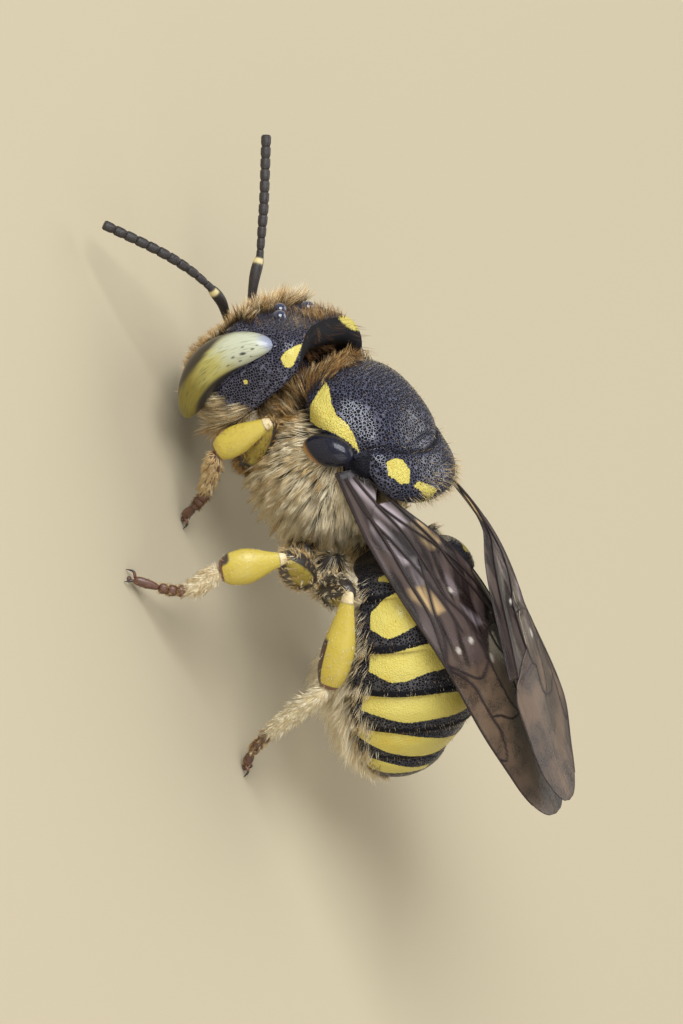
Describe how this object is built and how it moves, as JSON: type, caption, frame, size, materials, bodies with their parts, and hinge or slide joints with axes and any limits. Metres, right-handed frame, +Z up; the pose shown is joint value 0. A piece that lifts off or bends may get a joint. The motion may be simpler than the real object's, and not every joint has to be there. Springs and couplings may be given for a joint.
{
  "type": "bee",
  "caption": "Solid-bodied wool-carder bee with yellow bands, smoky wings folded over its back and bent feelers, standing on six feet.",
  "frame": {"origin": "on the floor under the middle of the whole bee's box", "axes": "+Z up; -Y is where the head points; +X is the bee's left side; the floor is z = 0"},
  "size_m": [0.0112, 0.0178, 0.0075],
  "materials": {
    "black": "pitted black body wall with a faint blue gloss",
    "banded": "yellow and black banded body wall, finely pitted",
    "yellow": "waxy lemon yellow, satin",
    "gloss": "smooth black shell, glossy",
    "coat": "fawn and cream combed hair over a black body wall",
    "foot": "red-brown foot under short fawn hair",
    "feeler": "dark brown, matt, finely downy",
    "eye": "pale green over olive, fine facets under a clear gloss",
    "wing": "smoky clear membrane with a purple and copper sheen, dark veins"
  },
  "bodies": {
    "root": {"head": "black", "eye_left": "eye", "eye_right": "eye", "jaw_left": "gloss", "jaw_right": "gloss", "antenna_scape_left": "feeler", "antenna_club_left": "feeler", "antenna_scape_right": "feeler", "antenna_club_right": "feeler", "coxa_fore_left": "coat", "femur_fore_left": "black", "tibia_fore_left": "yellow", "tarsus_fore_left": "foot", "coxa_fore_right": "coat", "femur_fore_right": "black", "tibia_fore_right": "yellow", "tarsus_fore_right": "foot", "coxa_mid_left": "coat", "femur_mid_left": "black", "tibia_mid_left": "yellow", "tarsus_mid_left": "foot", "coxa_mid_right": "coat", "femur_mid_right": "black", "tibia_mid_right": "yellow", "tarsus_mid_right": "foot", "coxa_hind_left": "coat", "femur_hind_left": "black", "tibia_hind_left": "yellow", "tarsus_hind_left": "foot", "coxa_hind_right": "coat", "femur_hind_right": "black", "tibia_hind_right": "yellow", "tarsus_hind_right": "foot", "thorax": "coat", "scutellum": "black", "tegula_left": "gloss", "tegula_right": "gloss", "neck": "coat", "abdomen_1": "banded", "abdomen_2": "banded", "abdomen_3": "banded", "abdomen_4": "banded", "abdomen_5": "banded", "abdomen_6": "banded", "waist": "coat", "forewing_left": "wing", "hindwing_left": "wing", "forewing_right": "wing", "hindwing_right": "wing"}
  },
  "joints": []
}
